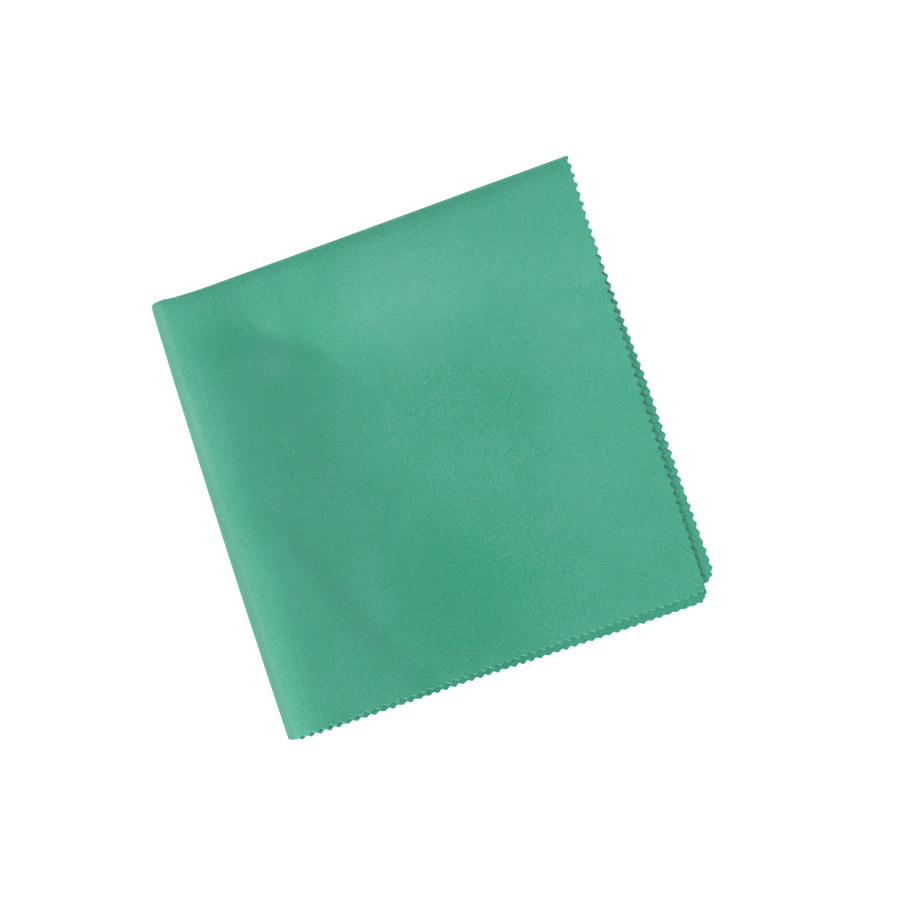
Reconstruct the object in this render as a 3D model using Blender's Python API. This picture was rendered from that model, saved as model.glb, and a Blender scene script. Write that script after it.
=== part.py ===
"""A square microfibre cleaning cloth, folded in half and then in half again, lying on a table.

The flat cloth is one sheet with pinked edges. The first fold runs along the top edge (+Y) and
pairs the layers; the second runs along the left edge (-X) and turns the pair under itself. So
four layers lie on each other: top, second, third and lowest. The top and lowest layers are the
outside of the second fold, and the second and third are its inside.

Metres, +Z up. X runs along the open bottom edge and Y towards the first fold. The origin is the
bottom centre of the folded cloth, on the surface it lies on.
"""

import math

import bmesh
import bpy
from mathutils import Vector

# Driving dimensions
THICKNESS = 0.0010  # one layer of the suede
AIR = 0.0005  # between two pressed layers
STEP = THICKNESS + AIR  # from the middle of one layer to the middle of the next
LAYER_STEPS = 3  # from the lowest layer to the top one
FIRST_FOLD_INSET = 0.0016  # about how far inside the top edge its fold's axis lies
SECOND_FOLD_INSET = 0.0030  # and the left fold's

# Pinked edge
TEETH_ACROSS = 45  # along the bottom edge of one layer, about 3.2 mm apart
TEETH_DOWN = 48  # along the right edge of one layer
TOOTH_DEPTH = 0.0012
CORNER_CUT = 0.0012  # how far the cloth's four corners are worn back, each way

# Outline of the folded cloth, seen from above
LEFT_TOP_X = -0.0735
LEFT_BOTTOM_X = -0.0765
LEFT_BOW = 0.00045  # the left fold swells this far outwards half-way down
TOP_LEFT_Y = 0.0753
TOP_RIGHT_Y = 0.0779
TUCKED_TOP_RIGHT_Y = 0.0770  # the first fold's hidden half, under the upper pair
TOP_SAG = 0.0004  # the top fold dips this far half-way along
RIGHT_TOP_X = 0.0744

# Where each layer's open edges end. Every right edge starts at the top fold, at RIGHT_TOP_X.
LAYERS = {
    "top": {"right_x": 0.0719, "bottom_left_y": -0.0768, "bottom_right_y": -0.0741},
    "second": {"right_x": 0.0715, "bottom_left_y": -0.0778, "bottom_right_y": -0.0775},
    "third": {"right_x": 0.0759, "bottom_left_y": -0.0778, "bottom_right_y": -0.0716},
    "lowest": {"right_x": 0.0721, "bottom_left_y": -0.0768, "bottom_right_y": -0.0722},
}

# The air caught in the folds lifts the upper layers in soft rolls, which leaves the middle low,
# and one crease slants across the left roll. Each runs from start to end with the cloth's open
# side on its left, and bows half-way by its bow towards the fold side. A station gives, at a
# distance along it, its crest's height and how far it reaches to each side. A flank's round is
# the share of it that bends at the crest and at the foot: the rest is straight.
ROLLS = [
    {
        "name": "left_roll",
        "start": (-0.0610, 0.078),
        "end": (-0.0610, -0.080),
        "bow": 0.0,
        "open_round": {"crest": 0.55, "foot": 0.45},
        "fold_round": {"crest": 1.0, "foot": 0.0},
        "stations": [
            {"along": 0.000, "height": 0.0024, "open_reach": 0.026, "fold_reach": 0.016},
            {"along": 0.020, "height": 0.0034, "open_reach": 0.034, "fold_reach": 0.016},
            {"along": 0.040, "height": 0.0041, "open_reach": 0.047, "fold_reach": 0.016},
            {"along": 0.070, "height": 0.0043, "open_reach": 0.050, "fold_reach": 0.016},
            {"along": 0.110, "height": 0.0040, "open_reach": 0.066, "fold_reach": 0.016},
            {"along": 0.158, "height": 0.0039, "open_reach": 0.084, "fold_reach": 0.016},
        ],
    },
    {
        "name": "top_roll",
        "start": (0.076, 0.0715),
        "end": (-0.074, 0.0705),
        "bow": 0.0,
        "open_round": {"crest": 0.5, "foot": 0.45},
        "fold_round": {"crest": 1.0, "foot": 0.0},
        "stations": [
            {"along": 0.000, "height": 0.0034, "open_reach": 0.064, "fold_reach": 0.011},
            {"along": 0.040, "height": 0.0040, "open_reach": 0.055, "fold_reach": 0.011},
            {"along": 0.072, "height": 0.0046, "open_reach": 0.047, "fold_reach": 0.011},
            {"along": 0.092, "height": 0.0044, "open_reach": 0.040, "fold_reach": 0.011},
            {"along": 0.108, "height": 0.0037, "open_reach": 0.029, "fold_reach": 0.011},
            {"along": 0.125, "height": 0.0030, "open_reach": 0.019, "fold_reach": 0.011},
            {"along": 0.150, "height": 0.0018, "open_reach": 0.014, "fold_reach": 0.011},
        ],
    },
    {
        "name": "right_rise",
        "start": (0.080, 0.078),
        "end": (0.080, -0.070),
        "bow": 0.0,
        "open_round": {"crest": 0.5, "foot": 0.5},
        "fold_round": {"crest": 0.2, "foot": 0.8},
        "stations": [
            {"along": 0.000, "height": 0.0026, "open_reach": 0.020, "fold_reach": 0.050},
            {"along": 0.050, "height": 0.0026, "open_reach": 0.020, "fold_reach": 0.050},
            {"along": 0.148, "height": 0.0010, "open_reach": 0.020, "fold_reach": 0.050},
        ],
    },
]
CORNER_CREASE = {
    "start": (-0.0620, 0.000),
    "end": (-0.0320, -0.080),
    "bow": 0.0018,
    "open_round": {"crest": 0.25, "foot": 0.25},
    "fold_round": {"crest": 0.3, "foot": 0.7},
    "stations": [
        {"along": 0.000, "height": 0.0001, "open_reach": 0.012, "fold_reach": 0.030},
        {"along": 0.018, "height": 0.0007, "open_reach": 0.010, "fold_reach": 0.032},
        {"along": 0.040, "height": 0.0007, "open_reach": 0.010, "fold_reach": 0.036},
        {"along": 0.086, "height": 0.0007, "open_reach": 0.012, "fold_reach": 0.040},
    ],
}
ROLL_BLEND = 3.0  # how sharply one roll gives way to the next where they meet

# Mesh density: where the grid's lines fall, counted in teeth from the open edge to the fold. They
# lie closer on the top layer, which is the upper pair's outer one.
UPPER_COLUMN_LINES = (0, 2, 5, 8, 11, 14, 17, 20, 23, 26, 28, 30, 32, 34, 36, 38, 40, 42, 43, 44, 45)
LOWER_COLUMN_LINES = (0, 2, 6, 10, 14, 18, 22, 26, 30, 34, 37, 40, 42, 43, 44, 45)
OUTER_ROW_LINES = (0, 2, 5, 8, 11, 14, 17, 20, 23, 26, 29, 32, 35, 38, 40, 42, 44, 45, 46, 47, 48)
INNER_ROW_LINES = (0, 2, 6, 10, 14, 18, 22, 26, 30, 34, 38, 41, 43, 45, 46, 47, 48)
FIRST_FOLD_STEPS = 8
SECOND_FOLD_STEPS = 8

SUEDE_COLOR = (0.080, 0.385, 0.262, 1.0)
SUEDE_ROUGHNESS = 0.95


def mix(a, b, share):
    return a + (b - a) * share


def station_value(stations, along, key):
    """A ridge's value at a distance along it, eased from one station to the next."""
    for before, after in zip(stations, stations[1:]):
        if along <= after["along"]:
            break
    share = (along - before["along"]) / (after["along"] - before["along"])
    share = min(max(share, 0.0), 1.0)
    return mix(before[key], after[key], share * share * (3.0 - 2.0 * share))


def flank_height(share, bends):
    """Height left at a share of the way down a flank, which bends at its crest and its foot."""
    crest, foot = bends["crest"], bends["foot"]
    whole = 1 - crest / 2 - foot / 2
    if share >= 1:
        return 0.0
    if share < crest:
        fallen = share**2 / (2 * crest)
    elif share < 1 - foot:
        fallen = share - crest / 2
    else:
        fallen = whole - (1 - share) ** 2 / (2 * foot)
    return 1 - fallen / whole


def ridge_rise(x, y, ridge):
    """Height of one roll or crease at a point."""
    start = Vector(ridge["start"])
    line = Vector(ridge["end"]) - start
    offset = Vector((x, y)) - start
    along = offset.dot(line) / line.length
    share_along = min(max(along / line.length, 0.0), 1.0)
    aside = (line.x * offset.y - line.y * offset.x) / line.length
    aside += ridge["bow"] * 4 * share_along * (1 - share_along)
    side = "open" if aside > 0 else "fold"
    stations = ridge["stations"]
    share = abs(aside) / station_value(stations, along, f"{side}_reach")
    return station_value(stations, along, "height") * flank_height(share, ridge[f"{side}_round"])


def lift(x, y):
    """How far the top layer stands above a tightly pressed stack: the rolls, and the crease."""
    rolls = sum(ridge_rise(x, y, roll) ** ROLL_BLEND for roll in ROLLS)
    return rolls ** (1.0 / ROLL_BLEND) + ridge_rise(x, y, CORNER_CREASE)


def layer_gap(x, y):
    """From the middle of one layer to the next, with the lift shared out between them."""
    return STEP + lift(x, y) / LAYER_STEPS


def layer_mix(key, upper_share, outer_share):
    """A value of LAYERS, mixed between the four layers as the sheet passes round a fold."""
    upper = mix(LAYERS["second"][key], LAYERS["top"][key], outer_share)
    lower = mix(LAYERS["third"][key], LAYERS["lowest"][key], outer_share)
    return mix(lower, upper, upper_share)


def sheet_point(across, down, second_angle, first_angle):
    """A point of the sheet's middle surface.

    across and down run from the folds (0) to the open edges (1). second_angle is 0 on the upper
    pair of layers, pi on the lower pair and between them round the left fold. first_angle is 0 on
    the outer layers, pi on the inner ones and between them round the top fold.
    """
    upper_share = (1.0 + math.cos(second_angle)) / 2
    outer_share = (1.0 + math.cos(first_angle)) / 2

    left_edge_x = mix(LEFT_TOP_X, LEFT_BOTTOM_X, down) - LEFT_BOW * 4 * down * (1 - down)
    right_x = mix(RIGHT_TOP_X, layer_mix("right_x", upper_share, outer_share), down)
    top_right_y = mix(TUCKED_TOP_RIGHT_Y, TOP_RIGHT_Y, upper_share)
    top_edge_y = mix(TOP_LEFT_Y, top_right_y, across) - TOP_SAG * 4 * across * (1 - across)
    bottom_y = mix(
        layer_mix("bottom_left_y", upper_share, outer_share),
        layer_mix("bottom_right_y", upper_share, outer_share),
        across,
    )

    # Each fold is as round as the layers beside it are far apart. The first fold's radius is half
    # a gap. The second fold's is a gap and a half on its outside and half a gap on its inside.
    left_gap = layer_gap(left_edge_x + SECOND_FOLD_INSET, mix(top_edge_y, bottom_y, down))
    top_gap = layer_gap(mix(left_edge_x, right_x, across), top_edge_y - FIRST_FOLD_INSET)
    left_axis_x = left_edge_x + 1.5 * left_gap + THICKNESS / 2
    top_axis_y = top_edge_y - 0.5 * top_gap - THICKNESS / 2
    gaps_round_left = 1 + 0.5 * math.cos(first_angle)
    x = mix(left_axis_x, right_x, across) - gaps_round_left * left_gap * math.sin(second_angle)
    y = mix(top_axis_y, bottom_y, down) + 0.5 * top_gap * math.sin(first_angle)
    gaps_up = LAYER_STEPS / 2 + gaps_round_left * math.cos(second_angle)
    return Vector((x, y, THICKNESS / 2 + gaps_up * layer_gap(x, y)))


def stations_along(teeth, fold_steps):
    """Every place along one side of the flat cloth: (share from the fold, angle round it, tooth).

    The side runs from one open edge to the fold, round it, and out to the other open edge. tooth
    is +1 at a tip of the pinking, -1 at a notch and 0 round the fold.
    """
    halves = range(2 * teeth + 1)
    inwards = [(1.0 - k / (2 * teeth), 0.0, 1 if k % 2 else -1) for k in halves]
    turn = [(0.0, math.pi * k / fold_steps, 0) for k in range(1, fold_steps)]
    outwards = [(share, math.pi, tooth) for share, _, tooth in reversed(inwards)]
    return inwards + turn + outwards


def grid_lines(lines, lines_back, teeth, fold_steps):
    """Indices, in stations_along(), of the grid lines that cross the whole cloth."""
    inwards = [2 * line for line in lines]
    turn = [2 * teeth + k for k in range(1, fold_steps)]
    last = 4 * teeth + fold_steps
    return inwards + turn + [last - 2 * line for line in reversed(lines_back)]


def add_cell(mesh, sides):
    """Faces of one grid cell: one quad inside the cloth, and a fan of triangles at its rim."""
    toothed = [number for number, side in enumerate(sides) if len(side) > 2]
    loop = [vert for side in sides for vert in side[:-1]]
    if not toothed:
        mesh.faces.new(loop)
    elif len(toothed) == 1:
        rim = sides[toothed[0]]
        beside_last, beside_first = sides[(toothed[0] + 2) % 4]
        middle = len(rim) // 2
        for k, (a, b) in enumerate(zip(rim, rim[1:])):
            mesh.faces.new((a, b, beside_first if k < middle else beside_last))
        mesh.faces.new((beside_first, rim[middle], beside_last))
    else:
        inner = next(sides[n][0] for n in range(4) if not {n, (n - 1) % 4} & set(toothed))
        start = loop.index(inner)
        rim = loop[start + 1 :] + loop[:start]
        for a, b in zip(rim, rim[1:]):
            mesh.faces.new((inner, a, b))


def sheet_mesh():
    """The sheet's middle surface: a coarse grid, fanned out to the teeth round its rim."""
    columns = stations_along(TEETH_ACROSS, SECOND_FOLD_STEPS)
    rows = stations_along(TEETH_DOWN, FIRST_FOLD_STEPS)
    column_lines = grid_lines(
        UPPER_COLUMN_LINES, LOWER_COLUMN_LINES, TEETH_ACROSS, SECOND_FOLD_STEPS
    )
    row_lines = grid_lines(OUTER_ROW_LINES, INNER_ROW_LINES, TEETH_DOWN, FIRST_FOLD_STEPS)
    side_columns = (0, len(columns) - 1)
    end_rows = (0, len(rows) - 1)
    mesh = bmesh.new()
    made = {}

    def vertex(column, row):
        if (column, row) in made:
            return made[column, row]
        across, second_angle, column_tooth = columns[column]
        down, first_angle, row_tooth = rows[row]
        point = sheet_point(across, down, second_angle, first_angle)
        if column in side_columns and row in end_rows:
            point += Vector((-CORNER_CUT, CORNER_CUT, 0.0))
        elif column in side_columns:
            point.x += row_tooth * TOOTH_DEPTH / 2
        elif row in end_rows:
            point.y -= column_tooth * TOOTH_DEPTH / 2
        made[column, row] = mesh.verts.new(point)
        return made[column, row]

    def row_side(row, c0, c1):
        if row not in end_rows:
            return [vertex(c0, row), vertex(c1, row)]
        return [vertex(column, row) for column in range(c0, c1 + 1)]

    def column_side(column, r0, r1):
        if column not in side_columns:
            return [vertex(column, r0), vertex(column, r1)]
        return [vertex(column, row) for row in range(r0, r1 + 1)]

    for c0, c1 in zip(column_lines, column_lines[1:]):
        for r0, r1 in zip(row_lines, row_lines[1:]):
            first, second = row_side(r0, c0, c1), column_side(c1, r0, r1)
            third, fourth = row_side(r1, c0, c1)[::-1], column_side(c0, r0, r1)[::-1]
            add_cell(mesh, [first, second, third, fourth])
    return mesh


def suede():
    material = bpy.data.materials.new("suede")
    material.use_nodes = True
    shader = material.node_tree.nodes["Principled BSDF"]
    shader.inputs["Base Color"].default_value = SUEDE_COLOR
    shader.inputs["Roughness"].default_value = SUEDE_ROUGHNESS
    shader.inputs["Metallic"].default_value = 0.0
    return material


def build_cloth():
    """The folded cloth, with its outline centred on the origin and its thickness on both sides."""
    sheet = sheet_mesh()
    xs = [vert.co.x for vert in sheet.verts]
    ys = [vert.co.y for vert in sheet.verts]
    left_x = min(xs) - THICKNESS / 2
    top_y = max(ys) + THICKNESS / 2
    centre = Vector(((left_x + max(xs)) / 2, (min(ys) + top_y) / 2, 0.0))
    bmesh.ops.translate(sheet, verts=sheet.verts, vec=-centre)
    data = bpy.data.meshes.new("cloth")
    sheet.to_mesh(data)
    sheet.free()
    data.materials.append(suede())
    data.shade_smooth()
    cloth = bpy.data.objects.new("cloth", data)
    bpy.context.scene.collection.objects.link(cloth)
    solid = cloth.modifiers.new("thickness", "SOLIDIFY")
    solid.thickness = THICKNESS
    solid.offset = 0.0


def main():
    for old in list(bpy.data.objects):
        bpy.data.objects.remove(old)
    build_cloth()


main()
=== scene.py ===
"""Dresses the folded microfibre cloth: its fine sheet, its suede, the light and the camera.

Metres, +Z up, in the frame of the solid part: X runs along the open bottom edge, Y towards the
first fold, and the origin is under the middle of the folded cloth, on the surface it lies on. The
camera looks straight down and is turned, so that the cloth lies at a slant in the picture.

The first fold, along the top edge, pairs the layers: an outer one and an inner one. The second,
along the left edge, turns that pair under itself. So the layers are, from the top: "top" (outer),
"second" (inner), "third" (inner) and "lowest" (outer). In the tables of outlines and teeth the
upper pair is the top and the second layer, and the lower pair the third and the lowest one.
"""

import math
from collections import namedtuple

import bpy
import numpy as np
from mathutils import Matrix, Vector


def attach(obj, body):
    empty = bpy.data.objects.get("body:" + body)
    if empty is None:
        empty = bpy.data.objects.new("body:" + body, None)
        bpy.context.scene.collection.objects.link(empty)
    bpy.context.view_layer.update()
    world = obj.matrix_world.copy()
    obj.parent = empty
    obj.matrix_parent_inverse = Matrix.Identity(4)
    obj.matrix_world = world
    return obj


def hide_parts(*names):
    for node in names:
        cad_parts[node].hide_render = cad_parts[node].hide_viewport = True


# ---------------------------------------------------------------- the sheet
THICKNESS = 0.00042
FOLD_PITCH = 0.0014  # from one layer to the next beside the folds, where air is caught
OPEN_PITCH = 0.00047  # and where the layers lie close, towards the open edges
FOLD_EASE = 0.045  # how far from a fold the layers have come close
FIRST_FOLD_INSET = 0.0016  # how far inside the top edge the gap for its fold's loops is taken
SECOND_FOLD_INSET = 0.0030  # and inside the left edge, for the left fold's
SECOND_FOLD_STRETCH = 1.5  # the left fold's loops reach this many times as far out as up
BUNCHING = 8.0  # how far the upper three layers keep together where they rise at the open edges

# The two inner layers rise and fall a little between the outer ones, as a sine across one
# direction times a cosine across another: {layer: ((x, y, start), (x, y, start))}, in radians
# per metre and radians. The lowest layer is 0 and the top one 3.
INNER_WANDER = 0.00002  # how far
INNER_WAVES = {
    2: ((118.0, 37.0, 0.4), (-21.0, 96.0, 0.0)),
    1: ((83.0, -61.0, 2.1), (44.0, 71.0, 1.0)),
}

# Outline, seen from above
LEFT_TOP_X = -0.0737
LEFT_BOTTOM_X = -0.0766
LEFT_BOW = 0.0006  # how far the left edge bows out half-way
FOLD_CORNER_INSET = 0.0002  # how far it draws in where it meets the top fold
FOLD_CORNER_REACH = 0.010  # the share of the way down where it is back in line
TOP_RIGHT_Y = 0.0781
TOP_TUCK = 0.0010  # how far the lower pair's top fold draws back at the right end

# Where the top edge runs: (share of the way across from the left fold, y)
TOP_EDGE = (
    (0.000, 0.0758),
    (0.015, 0.0754),
    (0.045, 0.0752),
    (0.085, 0.0751),
    (0.125, 0.0752),
    (0.190, 0.0754),
    (0.310, 0.0757),
    (0.510, 0.0764),
    (0.770, 0.0774),
    (1.000, TOP_RIGHT_Y),
)

# Where each layer's right edge runs: (share of the way down from the top fold, x)
RIGHT_EDGES = {
    "top": ((0.0, 0.0735), (0.10, 0.0732), (0.34, 0.0726), (0.57, 0.0720), (1.0, 0.0716)),
    "second": ((0.0, 0.0730), (0.30, 0.0713), (0.60, 0.0707), (0.88, 0.0707), (1.0, 0.0716)),
    "third": ((0.0, 0.0729), (0.28, 0.0735), (0.52, 0.0747), (0.75, 0.0749), (1.0, 0.0757)),
    "lowest": ((0.0, 0.0728), (0.30, 0.0725), (0.60, 0.0723), (0.80, 0.0721), (1.0, 0.0719)),
}
# and its bottom edge: (share of the way across from the left fold, y)
BOTTOM_EDGES = {
    "top": ((0.0, -0.0767), (0.22, -0.0758), (0.45, -0.0755), (0.70, -0.0749), (1.0, -0.0742)),
    "second": ((0.0, -0.0775), (0.41, -0.0773), (0.60, -0.0776), (0.79, -0.0778), (1.0, -0.0775)),
    "third": ((0.0, -0.0775), (0.30, -0.0757), (0.60, -0.0741), (0.85, -0.0726), (1.0, -0.0717)),
    "lowest": ((0.0, -0.0767), (0.30, -0.0757), (0.60, -0.0743), (0.85, -0.0733), (1.0, -0.0724)),
}
# How far from each layer's open corner its edges start to round
CORNER_REACH = {"top": 0.0030, "second": 0.0042, "third": 0.0046, "lowest": 0.0030}

# The third layer rises past the second one's right edge and sinks back past the top one's
RIGHT_HUMP = 0.00036  # how high it rises
RIGHT_HUMP_START = 0.0002  # how far past the second layer's edge it starts to
RIGHT_HUMP_RISE = 0.0009  # over this distance
RIGHT_HUMP_FALL = 0.0018  # how far past the top layer's edge it has sunk back
RIGHT_HUMP_SINK = 0.65  # by this share of the rise

# The rim's teeth: (depth, depth at the open corner, shift in teeth, seed)
BOTTOM_TEETH_OUTER = (0.00100, 0.00100, 0.0, 11)
BOTTOM_TEETH_INNER = (0.00080, 0.00055, 0.375, 12)
RIGHT_TEETH_UPPER = (0.00110, 0.00065, 0.0, 23)
RIGHT_TEETH_LOWER = (0.00095, 0.00080, 0.5, 24)
WORN_TEETH = 18.0  # teeth from the open corner to the full depth
TOOTH_DEPTH_UNEVENNESS = 0.28  # of the depth
TOOTH_SHARPNESS = 0.90  # 1 is a plain zigzag, less rounds the tips and the notches
CORNER_PHASE = 0.22  # of the way through a tooth, where an edge starts at its corner

# The rim. Along the bottom it runs from one open corner round the left fold to another, and
# along the right from one open corner round the top fold to another.
BOTTOM_RIM = {
    "length": 0.1456,  # on one layer, from the open corner to the fold
    "pitch": 0.00313,  # from tooth to tooth, over most of that
    "fold_pitch": 0.00337,  # and near the fold
    "fold_length": 0.0060,  # of the way round the fold
    "seed": 11,
}
RIGHT_RIM = {
    "length": 0.1522,
    "pitch": 0.003235,
    "fold_pitch": 0.003235,
    "fold_length": 0.0038,
    "seed": 23,
}
PITCH_CHANGE_START = 0.55  # of the way to the fold, where the teeth's pitch starts to change
PITCH_CHANGE_REACH = 0.3  # and the share of the way over which it does
TOOTH_PITCH_UNEVENNESS = 0.05  # of the pitch
RIM_INSET = 0.0003  # the rim's rounding starts this far in
RIM_THINNING = 0.60  # the sheet's thickness at the rim, as a share
RIM_BULGE = 0.00012  # how far the rim's middle line stands out

# Mesh density
RIM_STEPS_PER_TOOTH = 8
FOLD_STEPS = 16  # round a fold
UPPER_COLUMN_STEPS = 4  # rim steps from one grid column to the next, in the upper pair
LOWER_COLUMN_STEPS = 8  # and in the lower one
OUTER_ROW_STEPS = 4  # rim steps from one grid row to the next, in the outer layers
INNER_ROW_STEPS = 8  # and in the inner ones
NEAR_RIM_STEPS = 12  # rim steps before the far rim of the lower pair, or the inner layers,
NEAR_RIM_SPACING = 2  # over which the grid's lines lie this many rim steps apart

# ---------------------------------------------------------------- its rolls and creases
# Each one runs from start to end with the cloth's open side on its left, and bows half-way by
# its bow towards the fold side. Its stations are (distance along, height, reach to the open side,
# reach to the fold side). A flank's round is (share of it that bends at the crest, share of it
# that bends at the foot): the rest is straight.
ROLLS = {
    "left_roll": {
        "start": (-0.0610, 0.078),
        "end": (-0.0610, -0.080),
        "bow": 0.0,
        "open_round": (0.55, 0.45),
        "fold_round": (1.0, 0.0),
        "stations": (
            (0.000, 0.0024, 0.026, 0.016),
            (0.020, 0.0034, 0.034, 0.016),
            (0.040, 0.0041, 0.047, 0.016),
            (0.070, 0.0043, 0.050, 0.016),
            (0.110, 0.0040, 0.066, 0.016),
            (0.158, 0.0039, 0.084, 0.016),
        ),
    },
    "top_roll": {
        "start": (0.076, 0.0715),
        "end": (-0.074, 0.0705),
        "bow": 0.0,
        "open_round": (0.5, 0.45),
        "fold_round": (1.0, 0.0),
        "stations": (
            (0.000, 0.0034, 0.064, 0.011),
            (0.040, 0.0040, 0.055, 0.011),
            (0.072, 0.0046, 0.047, 0.011),
            (0.092, 0.0043, 0.041, 0.011),
            (0.108, 0.0036, 0.032, 0.011),
            (0.125, 0.0029, 0.022, 0.011),
            (0.150, 0.0018, 0.014, 0.011),
        ),
    },
    "right_rise": {
        "start": (0.080, 0.078),
        "end": (0.080, -0.070),
        "bow": 0.0,
        "open_round": (0.5, 0.5),
        "fold_round": (0.2, 0.8),
        "stations": (
            (0.000, 0.0026, 0.020, 0.050),
            (0.050, 0.0026, 0.020, 0.050),
            (0.148, 0.0010, 0.020, 0.050),
        ),
    },
}
CREASES = {
    "corner_crease": {
        "start": (-0.0620, 0.000),
        "end": (-0.0320, -0.080),
        "bow": 0.0018,
        "open_round": (0.25, 0.25),
        "fold_round": (0.3, 0.7),
        "stations": (
            (0.000, 0.0001, 0.012, 0.030),
            (0.018, 0.0007, 0.010, 0.032),
            (0.040, 0.0007, 0.010, 0.036),
            (0.086, 0.0007, 0.012, 0.040),
        ),
    },
}
HEIGHT, OPEN_REACH, FOLD_REACH = 1, 2, 3  # a station's columns after the distance along
ROLL_BLEND = 2.5  # 1 adds the rolls up where they meet, and more keeps nearer the highest

# ---------------------------------------------------------------- the picture
VIEW_TURN = math.radians(18.7)  # the cloth's bottom edge slants up to the right by this much
VIEW_CENTRE = (0.0055, -0.0023)  # the point of the table in the middle of the picture
VIEW_WIDTH = 0.301  # of the table across the picture
LENS = 135.0
SENSOR = 36.0

TABLE_SIZE = 6.0
TABLE_GAP = 0.0001  # keeps the table's top off the cloth's lower face
TABLE_COLOR = (0.93, 0.93, 0.93, 1.0)
TABLE_ROUGHNESS = 0.8
TABLE_SPECULAR = 0.2
TABLE_GLOW = (1.0, 1.0, 1.0, 1.0)
TABLE_GLOW_STRENGTH = 0.56  # lifts the table to plain white

KEY_DIRECTION = (-0.86, 0.10, 0.50)  # towards the light
KEY_STRENGTH = 1.4
KEY_ANGLE = math.radians(12.0)  # how wide it looks from the cloth
SOFT_DIRECTION = (-0.58, -0.67, 0.46)
SOFT_STRENGTH = 2.05
SOFT_ANGLE = math.radians(75.0)
WORLD_COLOR = (0.97, 0.985, 1.0, 1.0)
WORLD_STRENGTH = 0.60

# ---------------------------------------------------------------- the suede
FRONT_SLOT, BACK_SLOT, CUT_SLOT = range(3)  # the materials' places on the mesh

# Colours of the tone, from deep to pale: (tone, colour)
SUEDE_TONES = (
    (0.0, (0.000, 0.255, 0.097, 1.0)),
    (0.3, (0.000, 0.329, 0.190, 1.0)),
    (1.0, (0.167, 0.498, 0.400, 1.0)),
)
# The cloth's surfaces: (middle tone, lightness). The cut edge's frayed fibres are paler.
FRONT_SUEDE = (0.50, 1.0)
# The back is darker: partly the cloth's own darker face, partly painted shade for its strip that
# shows under the top layer's bottom edge.
BACK_SUEDE = (0.42, 0.92)
CUT_SUEDE = (0.70, 1.05)
SUEDE_ROUGHNESS = 0.47
SUEDE_ROUGHNESS_RANGE = 0.16  # added by the clouds
SUEDE_SPECULAR = 0.55
SUEDE_DEPTH = 0.0005  # how far light spreads in it
SUEDE_SHEEN = 0.12
SUEDE_SHEEN_ROUGHNESS = 0.5
# Noises: (scale, detail, roughness)
GRAIN_NOISE = (3600.0, 2.0, 0.7)
CLOUD_NOISE = (70.0, 3.0, 0.55)
GRAIN_STRENGTH = 1.7  # how far it moves the tone in all
CLOUD_STRENGTH = 0.14
GRAIN_BUMP_STRENGTH = 0.35
GRAIN_BUMP_HEIGHT = 0.00008

# Painted light and shade over the broad folds, as paler and darker patches: (x, y, half length,
# half width, turn, change of tone)
PAINTED_LIGHT_AND_SHADE_PATCHES = (
    (0.010, 0.055, 0.045, 0.027, 0.1, 0.15),
    (-0.026, 0.051, 0.019, 0.015, 1.0, -0.12),
    (-0.038, 0.044, 0.016, 0.012, 0.0, 0.10),
    (-0.055, 0.056, 0.015, 0.013, 0.0, -0.09),
    (0.004, 0.031, 0.022, 0.012, 0.0, 0.07),
    (-0.069, 0.032, 0.030, 0.014, 1.57, 0.09),
    (0.058, 0.035, 0.060, 0.042, 1.57, 0.08),
    (-0.044, 0.028, 0.044, 0.026, 1.4, -0.02),
    (-0.002, -0.050, 0.044, 0.038, 1.57, -0.13),
    (0.050, -0.026, 0.026, 0.020, 1.3, 0.05),
    (0.030, 0.008, 0.021, 0.016, 0.0, -0.05),
)
# and painted shade along the folds' rounded edges, over the left fold's lit rounding and the top
# fold's edge: the same, with a change of lightness
PAINTED_FOLD_SHADE_PATCHES = (
    (-0.0765, -0.010, 0.130, 0.0120, 1.552, -0.13),
    (-0.0757, 0.000, 0.400, 0.0055, 1.552, -0.28),
    (-0.0742, 0.075, 0.055, 0.0055, 1.552, -0.10),
    (-0.0768, -0.075, 0.055, 0.0055, 1.552, -0.08),
    (0.0, 0.0785, 0.130, 0.0090, 0.016, -0.16),
)


# ---------------------------------------------------------------- shares and lines
def mix(a, b, share):
    """From a, at a share of 0, to b, at 1."""
    return a + (b - a) * share


def ease(share):
    """0 up to a share of 0 and 1 from a share of 1, with a soft start and end between."""
    share = np.clip(share, 0.0, 1.0)
    return share * share * (3.0 - 2.0 * share)


def bowed(bow, share):
    """How far a bowed line is off the straight one, at a share of the way along."""
    return bow * 4 * share * (1 - share)


def along_line(line, share):
    """A value from a short table of (share, value), straight between its rows."""
    return np.interp(share, [row[0] for row in line], [row[1] for row in line])


def station_value(stations, along, column):
    """A ridge's value at a distance along it, eased from one station to the next."""
    value = np.full_like(along, stations[0][column])
    for before, after in zip(stations, stations[1:]):
        share = ease((along - before[0]) / (after[0] - before[0]))
        value = np.where(along > before[0], mix(before[column], after[column], share), value)
    return value


def flank(share, rounds):
    """Height left, as a share, at a share of the way down a flank with a round crest and foot."""
    share = np.clip(np.abs(share), 0.0, 1.0)
    crest, foot = rounds
    whole = 1 - crest / 2 - foot / 2
    start = share**2 / (2 * crest)
    middle = share - crest / 2
    end = whole - (1 - share) ** 2 / (2 * max(foot, 1e-9))  # no foot, no division by 0
    fallen = np.where(share < crest, start, np.where(share < 1 - foot, middle, end))
    return 1.0 - fallen / whole


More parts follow.
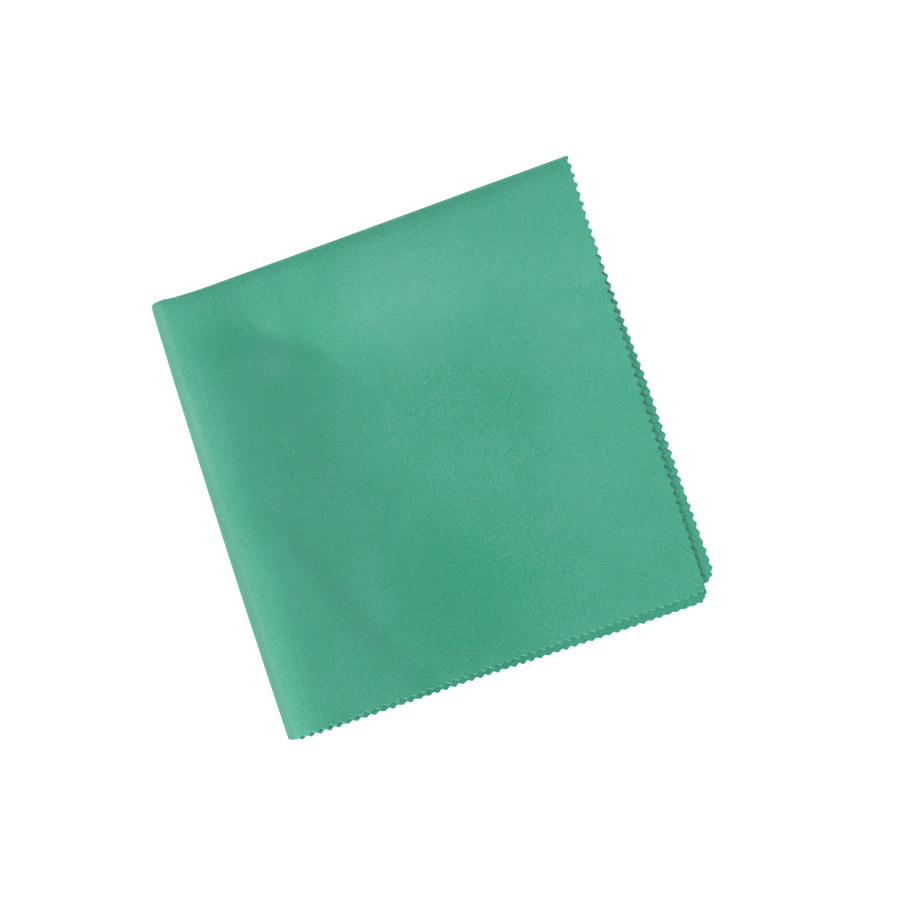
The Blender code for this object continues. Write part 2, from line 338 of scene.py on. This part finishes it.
def ridge_rise(x, y, ridge):
    """Height of one roll or crease over a point."""
    start = ridge["start"]
    line_x = ridge["end"][0] - start[0]
    line_y = ridge["end"][1] - start[1]
    length = math.hypot(line_x, line_y)
    along = ((x - start[0]) * line_x + (y - start[1]) * line_y) / length
    share_along = np.clip(along / length, 0.0, 1.0)
    aside = (line_x * (y - start[1]) - line_y * (x - start[0])) / length
    aside = aside + bowed(ridge["bow"], share_along)
    height = station_value(ridge["stations"], along, HEIGHT)
    open_reach = station_value(ridge["stations"], along, OPEN_REACH)
    fold_reach = station_value(ridge["stations"], along, FOLD_REACH)
    open_flank = flank(aside / open_reach, ridge["open_round"])
    fold_flank = flank(aside / fold_reach, ridge["fold_round"])
    return height * np.where(aside > 0, open_flank, fold_flank)


def lift(x, y):
    """How far the top layer stands above the stack: the rolls, blended, and the crease on them."""
    rolls = sum(ridge_rise(x, y, roll) ** ROLL_BLEND for roll in ROLLS.values())
    creases = sum(ridge_rise(x, y, crease) for crease in CREASES.values())
    return rolls ** (1.0 / ROLL_BLEND) + creases


# ---------------------------------------------------------------- the folded sheet
def by_layer(values, upper_share, outer_share):
    """A value of the four layers, mixed as the sheet passes round a fold."""
    upper = mix(values["second"], values["top"], outer_share)
    lower = mix(values["third"], values["lowest"], outer_share)
    return mix(lower, upper, upper_share)


def freedom(x, y):
    """0 at the folds, 1 where the layers lie loose."""
    return ease((x - LEFT_BOTTOM_X) / FOLD_EASE) * ease((TOP_RIGHT_Y - y) / FOLD_EASE)


def pitch_at(x, y):
    """From one layer to the next on a pressed stack: wider beside the folds."""
    return mix(FOLD_PITCH, OPEN_PITCH, freedom(x, y))


def layer_gap(x, y):
    """From one layer to the next beside a fold, where the three gaps share the lift evenly."""
    return pitch_at(x, y) + lift(x, y) / 3


def inner_wander(x, y, layer):
    """How far an inner layer is off its even height, away from the folds."""
    wander = 0.0
    for inner, (sine, cosine) in INNER_WAVES.items():
        wave = np.sin(x * sine[0] + y * sine[1] + sine[2])
        wave = wave * np.cos(x * cosine[0] + y * cosine[1] + cosine[2])
        wander = wander + wave * np.clip(1 - np.abs(layer - inner), 0, 1)
    return INNER_WANDER * freedom(x, y) * wander


def layer_rise(x, y, layer):
    """Height of a layer's middle over the lowest one's, with the layer from 0 to 3.

    Away from the folds the upper three layers rise together.
    """
    share = 1 - np.clip(1 - layer / 3, 0.0, 1.0) ** (1 + BUNCHING * freedom(x, y))
    return layer * pitch_at(x, y) + share * lift(x, y) + inner_wander(x, y, layer)


def round_corner(x, y, right_x, bottom_y, reach):
    """Moves the points near an open corner in, so that it is worn round."""
    side = np.clip(1 - (right_x - x) / reach, 0, 2)
    end = np.clip(1 - (y - bottom_y) / reach, 0, 2)
    both = np.hypot(side, end)
    near = (side > 0) & (end > 0)
    shrink = np.where(near, np.maximum(side, end) / np.where(near, both, 1.0), 1.0)
    x = np.where(near, right_x - reach * (1 - side * shrink), x)
    y = np.where(near, bottom_y + reach * (1 - end * shrink), y)
    return x, y


def sheet_points(across, second_angle, down, first_angle, out_x, out_y):
    """Points of the sheet's middle surface.

    across and down run from the folds (0) to the open edges (1). second_angle is 0 on the upper
    pair of layers, pi on the lower pair and between them round the left fold. first_angle is 0 on
    the outer layers, pi on the inner ones and between them round the top fold. out_x and out_y
    move a point of the rim outwards.
    """
    upper_share = (1 + np.cos(second_angle)) / 2
    outer_share = (1 + np.cos(first_angle)) / 2
    left_edge_x = mix(LEFT_TOP_X, LEFT_BOTTOM_X, down) - bowed(LEFT_BOW, down)
    left_edge_x = left_edge_x + FOLD_CORNER_INSET * np.clip(1 - down / FOLD_CORNER_REACH, 0, 1) ** 2
    rights = {name: along_line(line, down) for name, line in RIGHT_EDGES.items()}
    bottoms = {name: along_line(line, across) for name, line in BOTTOM_EDGES.items()}
    right_x = by_layer(rights, upper_share, outer_share)
    bottom_y = by_layer(bottoms, upper_share, outer_share)
    top_edge_y = along_line(TOP_EDGE, across) - TOP_TUCK * across * (1 - upper_share)

    # A fold's loops are as high as the layers beside it lie apart. The left fold turns four
    # layers, so that its outer loop spans three gaps and its inner one a single gap.
    left_gap = layer_gap(left_edge_x + SECOND_FOLD_INSET, mix(top_edge_y, bottom_y, down))
    top_gap = layer_gap(mix(left_edge_x, right_x, across), top_edge_y - FIRST_FOLD_INSET)
    left_axis_x = left_edge_x + SECOND_FOLD_STRETCH * 1.5 * left_gap + THICKNESS / 2
    top_axis_y = top_edge_y - 0.5 * top_gap - THICKNESS / 2
    turns = 1 + 0.5 * np.cos(first_angle)  # the left loop's radius in gaps: 1.5 or 0.5
    left_reach = SECOND_FOLD_STRETCH * turns * left_gap
    x = mix(left_axis_x, right_x, across) - left_reach * np.sin(second_angle) + out_x
    y = mix(top_axis_y, bottom_y, down) + 0.5 * top_gap * np.sin(first_angle) - out_y
    reach = by_layer(CORNER_REACH, upper_share, outer_share)
    x, y = round_corner(x, y, right_x, bottom_y, reach)
    layer = 1.5 + turns * np.cos(second_angle)  # 0 at the lowest, 3 at the top

    third_share = (1 - upper_share) * (1 - outer_share)
    risen = ease((x - rights["second"] - RIGHT_HUMP_START) / RIGHT_HUMP_RISE)
    sunk = RIGHT_HUMP_SINK * ease((x - rights["top"]) / RIGHT_HUMP_FALL)
    hump = RIGHT_HUMP * risen * (1 - sunk)
    z = THICKNESS / 2 + layer_rise(x, y, layer) + third_share * hump
    return np.stack([x, y, z], axis=-1)


# ---------------------------------------------------------------- its mesh
def tooth_widths(rim, count, rng):
    """Uneven widths of the teeth from the open corner to the fold."""
    towards_fold = ease((np.arange(count) / count - PITCH_CHANGE_START) / PITCH_CHANGE_REACH)
    uneven = 1 + TOOTH_PITCH_UNEVENNESS * rng.uniform(-1, 1, count)
    return mix(rim["pitch"], rim["fold_pitch"], towards_fold) * uneven


def half_rim(rim, rng):
    """Rim stations from the open corner to the fold: (share from the fold, tooth phase)."""
    count = round(rim["length"] / rim["pitch"])
    ends = np.concatenate([[0.0], np.cumsum(tooth_widths(rim, count, rng))])
    steps = np.arange(count * RIM_STEPS_PER_TOOTH + 1) / RIM_STEPS_PER_TOOTH
    place = np.interp(steps, np.arange(count + 1), ends) / ends[-1]
    return 1.0 - place, steps + CORNER_PHASE


# For each station its share from the fold, its angle round it and its tooth phase, and the index
# of the station where the fold starts
RimStations = namedtuple("RimStations", "shares angles phases fold_start")


def whole_rim(rim):
    """Rim stations from one open corner, round the fold, to the other one."""
    rng = np.random.default_rng(rim["seed"])
    share, phase = half_rim(rim, rng)
    share_back, phase_back = half_rim(rim, rng)
    turn = np.arange(1, FOLD_STEPS) / FOLD_STEPS
    teeth_on_fold = rim["fold_length"] / rim["fold_pitch"]
    fold_phase = phase[-1] + turn * teeth_on_fold
    last_phase = phase[-1] + teeth_on_fold
    phase_out = last_phase + (phase_back[-1] - phase_back[::-1])
    shares = np.concatenate([share, 0 * turn, share_back[::-1]])
    angles = np.concatenate([0 * share, turn * math.pi, 0 * share_back + math.pi])
    phases = np.concatenate([phase, fold_phase, phase_out])
    return RimStations(shares, angles, phases, len(share) - 1)


def tooth_wave(phases, teeth):
    """How far each rim station lies outside the teeth's middle line."""
    depth, corner_depth, shift, seed = teeth
    from_corner = np.minimum(phases, phases[-1] - phases)
    depths = mix(corner_depth, depth, ease(from_corner / WORN_TEETH))
    phases = phases + shift
    uneven = np.random.default_rng(seed).uniform(-1, 1, int(phases[-1]) + 2)
    wave = np.arcsin(TOOTH_SHARPNESS * -np.cos(2 * math.pi * phases)) / math.asin(TOOTH_SHARPNESS)
    return wave * depths / 2 * (1 + TOOTH_DEPTH_UNEVENNESS * uneven[phases.astype(int)])


def grid_lines(fold_start, fine_step, coarse_step, total):
    """Indices of the stations where a grid line crosses the whole sheet."""
    fine = list(range(0, fold_start, fine_step))
    fold = list(range(fold_start, fold_start + FOLD_STEPS))
    coarse = list(range(fold_start + FOLD_STEPS, total, coarse_step))
    inside = [line for line in coarse if line < total - 1 - NEAR_RIM_STEPS]
    near_rim = list(range(total - 1 - NEAR_RIM_STEPS, total, NEAR_RIM_SPACING))
    return fine + fold + inside + near_rim


class SheetMesh:
    """The sheet's middle surface as a grid whose rim follows the teeth, then its thickness.

    Columns run from the upper pair's right edge round the left fold to the lower pair's, and
    rows from the outer layers' bottom edge round the top fold to the inner ones'. A vertex is
    known by its column, its row and its ring: 1 on the cut edge itself and 0 on all the rest.
    """

    def __init__(self):
        self.columns = whole_rim(BOTTOM_RIM)
        self.rows = whole_rim(RIGHT_RIM)
        self.column_count = len(self.columns.shares)
        self.row_count = len(self.rows.shares)
        self.column_lines = grid_lines(
            self.columns.fold_start, UPPER_COLUMN_STEPS, LOWER_COLUMN_STEPS, self.column_count
        )
        self.row_lines = grid_lines(
            self.rows.fold_start, OUTER_ROW_STEPS, INNER_ROW_STEPS, self.row_count
        )
        self.numbers = {}
        self.faces = []
        self.rim = []

    def vertex(self, column, row, ring=0):
        """The number of a vertex, which is the next one where it is new."""
        return self.numbers.setdefault((column, row, ring), len(self.numbers))

    def row_side(self, row, c0, c1):
        """A grid cell's side along a row, with all the stations between where it is the rim."""
        if row not in (0, self.row_count - 1):
            return [self.vertex(c0, row), self.vertex(c1, row)]
        return [self.vertex(column, row) for column in range(c0, c1 + 1)]

    def column_side(self, column, r0, r1):
        if column not in (0, self.column_count - 1):
            return [self.vertex(column, r0), self.vertex(column, r1)]
        return [self.vertex(column, row) for row in range(r0, r1 + 1)]

    def add_cell(self, sides):
        """Faces of one grid cell: one quad inside the cloth, and a fan of triangles at its rim."""
        toothed = [number for number, side in enumerate(sides) if len(side) > 2]
        loop = [vert for side in sides for vert in side[:-1]]
        if not toothed:
            self.faces.append(loop)
        elif len(toothed) == 1:
            # The rim's two halves fan out from the two corners across from it.
            rim = sides[toothed[0]]
            beside_last, beside_first = sides[(toothed[0] + 2) % 4]
            middle = len(rim) // 2
            for k, (a, b) in enumerate(zip(rim, rim[1:])):
                self.faces.append([a, b, beside_first if k < middle else beside_last])
            self.faces.append([beside_first, rim[middle], beside_last])
        else:
            # At a corner of the sheet both rims fan out from the cell's corner across from it.
            inner = next(sides[n][0] for n in range(4) if not {n, (n - 1) % 4} & set(toothed))
            start = loop.index(inner)
            rim = loop[start + 1 :] + loop[:start]
            for a, b in zip(rim, rim[1:]):
                self.faces.append([inner, a, b])

    def add_grid(self):
        for c0, c1 in zip(self.column_lines, self.column_lines[1:]):
            for r0, r1 in zip(self.row_lines, self.row_lines[1:]):
                first, second = self.row_side(r0, c0, c1), self.column_side(c1, r0, r1)
                third = self.row_side(r1, c0, c1)[::-1]
                fourth = self.column_side(c0, r0, r1)[::-1]
                self.add_cell([first, second, third, fourth])

    def add_rim(self):
        """A strip outside the grid's own rim, over which the cut edge rounds off."""
        last_column, last_row = self.column_count - 1, self.row_count - 1
        loop = [(column, 0) for column in range(last_column)]
        loop += [(last_column, row) for row in range(last_row)]
        loop += [(column, last_row) for column in range(last_column, 0, -1)]
        loop += [(0, row) for row in range(last_row, 0, -1)]
        inner = [self.vertex(*place) for place in loop]
        outer = [self.vertex(*place, 1) for place in loop]
        for k in range(len(loop)):
            after = (k + 1) % len(loop)
            self.faces.append([inner[after], inner[k], outer[k], outer[after]])
        self.rim = outer

    def points(self):
        """Where each vertex of the middle surface lies, and its ring."""
        column, row, ring = np.array(list(self.numbers)).T
        across, second_angle = self.columns.shares[column], self.columns.angles[column]
        down, first_angle = self.rows.shares[row], self.rows.angles[row]
        upper_side, lower_side = column == 0, column == self.column_count - 1
        outer_end, inner_end = row == 0, row == self.row_count - 1
        at_side, at_end = upper_side | lower_side, outer_end | inner_end
        upper_teeth = tooth_wave(self.rows.phases, RIGHT_TEETH_UPPER)[row]
        lower_teeth = tooth_wave(self.rows.phases, RIGHT_TEETH_LOWER)[row]
        outer_teeth = tooth_wave(self.columns.phases, BOTTOM_TEETH_OUTER)[column]
        inner_teeth = tooth_wave(self.columns.phases, BOTTOM_TEETH_INNER)[column]
        inset = np.where(ring == 1, 0.0, RIM_INSET)
        side_tooth = np.where(at_end, 0.0, upper_side * upper_teeth + lower_side * lower_teeth)
        end_tooth = np.where(at_side, 0.0, outer_end * outer_teeth + inner_end * inner_teeth)
        out_x = np.where(at_side, side_tooth - inset, 0.0)
        out_y = np.where(at_end, end_tooth - inset, 0.0)
        return sheet_points(across, second_angle, down, first_angle, out_x, out_y), ring

    def build(self, name):
        """The sheet's back, its front and the cut edge that joins them, as one mesh."""
        self.add_grid()
        self.add_rim()
        middle, ring = self.points()
        normals = middle_normals(middle, self.faces)
        half = THICKNESS / 2 * np.where(ring == 1, RIM_THINNING, 1.0)[:, None]
        back, front = middle + normals * half, middle - normals * half
        rim = np.array(self.rim)
        along = np.roll(middle[rim], -1, axis=0) - np.roll(middle[rim], 1, axis=0)
        outwards = unit(np.cross(along, normals[rim]))
        cut = middle[rim] + outwards * RIM_BULGE
        back_normals, front_normals = normals.copy(), -normals
        back_normals[rim] = unit(back_normals[rim] + outwards)
        front_normals[rim] = unit(front_normals[rim] + outwards)
        count = len(middle)
        verts = np.concatenate([back, front, cut])
        faces = list(self.faces)
        faces += [[count + vert for vert in reversed(face)] for face in self.faces]
        slots = [BACK_SLOT] * len(self.faces) + [FRONT_SLOT] * len(self.faces)
        for k in range(len(rim)):
            after = (k + 1) % len(rim)
            here, there = 2 * count + k, 2 * count + after
            faces.append([rim[after], rim[k], here, there])
            faces.append([there, here, count + rim[k], count + rim[after]])
            slots += [CUT_SLOT, CUT_SLOT]
        data = bpy.data.meshes.new(name)
        data.from_pydata(verts.tolist(), [], [[int(v) for v in face] for face in faces])
        data.polygons.foreach_set("material_index", slots)
        data.shade_smooth()
        vert_normals = np.concatenate([back_normals, front_normals, outwards])
        data.normals_split_custom_set_from_vertices(vert_normals.tolist())
        made = bpy.data.objects.new(name, data)
        bpy.context.scene.collection.objects.link(made)
        return made


def unit(vectors):
    """The same directions, each of length 1."""
    return vectors / np.linalg.norm(vectors, axis=1, keepdims=True)


def middle_normals(points, faces):
    """Normals of the middle surface towards the sheet's back, from the faces round a vertex."""
    normals = np.zeros_like(points)
    for size in (3, 4):
        chosen = np.array([face for face in faces if len(face) == size])
        corners = points[chosen]
        if size == 3:
            area = np.cross(corners[:, 1] - corners[:, 0], corners[:, 2] - corners[:, 0])
        else:
            area = np.cross(corners[:, 2] - corners[:, 0], corners[:, 3] - corners[:, 1])
        for corner in range(size):
            np.add.at(normals, chosen[:, corner], area)
    return unit(normals)


# ---------------------------------------------------------------- materials
class Nodes:
    """A new material, and short ways to add its nodes."""

    def __init__(self, name):
        self.material = bpy.data.materials.new(name)
        self.material.use_nodes = True
        self.tree = self.material.node_tree
        self.shader = self.tree.nodes["Principled BSDF"]
        self.place = self.tree.nodes.new("ShaderNodeTexCoord").outputs["Object"]

    def link(self, value, socket):
        """Joins a node's output to a socket, or sets the socket to a plain value."""
        if isinstance(value, bpy.types.NodeSocket):
            self.tree.links.new(value, socket)
        else:
            socket.default_value = value

    def math(self, operation, *values):
        node = self.tree.nodes.new("ShaderNodeMath")
        node.operation = operation
        for value, socket in zip(values, node.inputs):
            self.link(value, socket)
        return node.outputs["Value"]

    def noise(self, scale, detail, roughness):
        node = self.tree.nodes.new("ShaderNodeTexNoise")
        node.inputs["Scale"].default_value = scale
        node.inputs["Detail"].default_value = detail
        node.inputs["Roughness"].default_value = roughness
        self.link(self.place, node.inputs["Vector"])
        return node.outputs["Fac"]

    def patch(self, x, y, half_length, half_width, turn, change):
        """A soft-edged oval patch: a change of tone or lightness that fades out at its edge."""
        mapping = self.tree.nodes.new("ShaderNodeMapping")
        mapping.vector_type = "TEXTURE"
        mapping.inputs["Location"].default_value = (x, y, 0.0)
        mapping.inputs["Rotation"].default_value = (0.0, 0.0, turn)
        mapping.inputs["Scale"].default_value = (half_length, half_width, 1.0)
        self.link(self.place, mapping.inputs["Vector"])
        oval = self.tree.nodes.new("ShaderNodeTexGradient")
        oval.gradient_type = "SPHERICAL"
        self.link(mapping.outputs["Vector"], oval.inputs["Vector"])
        soft = self.tree.nodes.new("ShaderNodeMapRange")
        soft.interpolation_type = "SMOOTHSTEP"
        soft.inputs["To Max"].default_value = change
        self.link(oval.outputs["Fac"], soft.inputs["Value"])
        return soft.outputs["Result"]

    def ramp(self, factor, stops):
        """Colours from a short table of (tone, colour)."""
        node = self.tree.nodes.new("ShaderNodeValToRGB")
        elements = node.color_ramp.elements
        for tone, _ in stops[1:-1]:
            elements.new(tone)
        for element, (tone, color) in zip(elements, stops):
            element.position = tone
            element.color = color
        self.link(factor, node.inputs["Fac"])
        return node.outputs["Color"]

    def lighten(self, color, lightness):
        """The colour times the lightness."""
        node = self.tree.nodes.new("ShaderNodeVectorMath")
        node.operation = "SCALE"
        self.link(color, node.inputs["Vector"])
        self.link(lightness, node.inputs["Scale"])
        return node.outputs["Vector"]


def suede_material(name, middle_tone, lightness):
    """Suede: a fine speckle and cloudy nap, with painted light and shade in patches over the broad
    folds and painted shade along the folds' edges.
    """
    nodes = Nodes(name)
    grain = nodes.noise(*GRAIN_NOISE)
    cloud = nodes.noise(*CLOUD_NOISE)
    deepest_tone = middle_tone - (GRAIN_STRENGTH + CLOUD_STRENGTH) / 2
    tone = nodes.math("MULTIPLY_ADD", grain, GRAIN_STRENGTH, deepest_tone)
    tone = nodes.math("MULTIPLY_ADD", cloud, CLOUD_STRENGTH, tone)
    # painted light and shade: paler and darker patches over the broad folds
    for patch in PAINTED_LIGHT_AND_SHADE_PATCHES:
        tone = nodes.math("ADD", tone, nodes.patch(*patch))
    # painted shade along the folds' rounded edges
    for patch in PAINTED_FOLD_SHADE_PATCHES:
        lightness = nodes.math("ADD", lightness, nodes.patch(*patch))
    color = nodes.lighten(nodes.ramp(tone, SUEDE_TONES), lightness)
    nodes.link(color, nodes.shader.inputs["Base Color"])
    bump = nodes.tree.nodes.new("ShaderNodeBump")
    bump.inputs["Strength"].default_value = GRAIN_BUMP_STRENGTH
    bump.inputs["Distance"].default_value = GRAIN_BUMP_HEIGHT
    nodes.link(grain, bump.inputs["Height"])
    nodes.link(bump.outputs["Normal"], nodes.shader.inputs["Normal"])
    rough = nodes.math("MULTIPLY_ADD", cloud, SUEDE_ROUGHNESS_RANGE, SUEDE_ROUGHNESS)
    nodes.link(rough, nodes.shader.inputs["Roughness"])
    nodes.shader.inputs["Subsurface Weight"].default_value = 1.0
    nodes.shader.inputs["Subsurface Radius"].default_value = (1.0, 1.0, 1.0)
    nodes.shader.inputs["Subsurface Scale"].default_value = SUEDE_DEPTH
    nodes.shader.inputs["Specular IOR Level"].default_value = SUEDE_SPECULAR
    nodes.shader.inputs["Sheen Weight"].default_value = SUEDE_SHEEN
    nodes.shader.inputs["Sheen Roughness"].default_value = SUEDE_SHEEN_ROUGHNESS
    return nodes.material


# ---------------------------------------------------------------- the scene
def build_camera():
    """Looks straight down from where VIEW_WIDTH of the table fills the picture's width."""
    data = bpy.data.cameras.new("camera")
    data.lens = LENS
    data.sensor_width = SENSOR
    camera = bpy.data.objects.new("camera", data)
    camera.location = (*VIEW_CENTRE, VIEW_WIDTH * LENS / SENSOR)
    camera.rotation_euler = (0.0, 0.0, -VIEW_TURN)
    bpy.context.scene.collection.objects.link(camera)
    bpy.context.scene.camera = camera


def build_sun(name, towards, strength, angle):
    data = bpy.data.lights.new(name, "SUN")
    data.energy = strength
    data.angle = angle
    sun = bpy.data.objects.new(name, data)
    sun.rotation_mode = "QUATERNION"
    sun.rotation_quaternion = Vector(towards).to_track_quat("Z", "Y")
    bpy.context.scene.collection.objects.link(sun)


def build_table():
    bpy.ops.mesh.primitive_plane_add(size=TABLE_SIZE, location=(0.0, 0.0, -TABLE_GAP))
    table = bpy.context.object
    table.name = "table"
    material = bpy.data.materials.new("table_white")
    material.use_nodes = True
    shader = material.node_tree.nodes["Principled BSDF"]
    shader.inputs["Base Color"].default_value = TABLE_COLOR
    shader.inputs["Roughness"].default_value = TABLE_ROUGHNESS
    shader.inputs["Specular IOR Level"].default_value = TABLE_SPECULAR
    shader.inputs["Emission Color"].default_value = TABLE_GLOW
    shader.inputs["Emission Strength"].default_value = TABLE_GLOW_STRENGTH
    table.data.materials.append(material)


def build_light():
    build_sun("key", KEY_DIRECTION, KEY_STRENGTH, KEY_ANGLE)
    build_sun("soft", SOFT_DIRECTION, SOFT_STRENGTH, SOFT_ANGLE)
    world = bpy.data.worlds.new("studio")
    world.use_nodes = True
    background = world.node_tree.nodes["Background"]
    background.inputs["Color"].default_value = WORLD_COLOR
    background.inputs["Strength"].default_value = WORLD_STRENGTH
    bpy.context.scene.world = world
    bpy.context.scene.view_settings.view_transform = "Standard"


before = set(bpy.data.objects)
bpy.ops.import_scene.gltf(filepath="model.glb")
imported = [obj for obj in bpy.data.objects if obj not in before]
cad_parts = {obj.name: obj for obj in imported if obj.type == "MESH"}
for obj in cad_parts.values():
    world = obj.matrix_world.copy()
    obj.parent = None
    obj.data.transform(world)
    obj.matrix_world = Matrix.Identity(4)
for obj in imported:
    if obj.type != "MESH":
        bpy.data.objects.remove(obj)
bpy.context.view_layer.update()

build_camera()
build_light()
build_table()

cloth = SheetMesh().build("cloth_sheet")
cloth.data.materials.append(suede_material("suede_front", *FRONT_SUEDE))  # FRONT_SLOT
cloth.data.materials.append(suede_material("suede_back", *BACK_SUEDE))  # BACK_SLOT
cloth.data.materials.append(suede_material("suede_cut", *CUT_SUEDE))  # CUT_SLOT
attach(cloth, "root")
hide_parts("cloth")
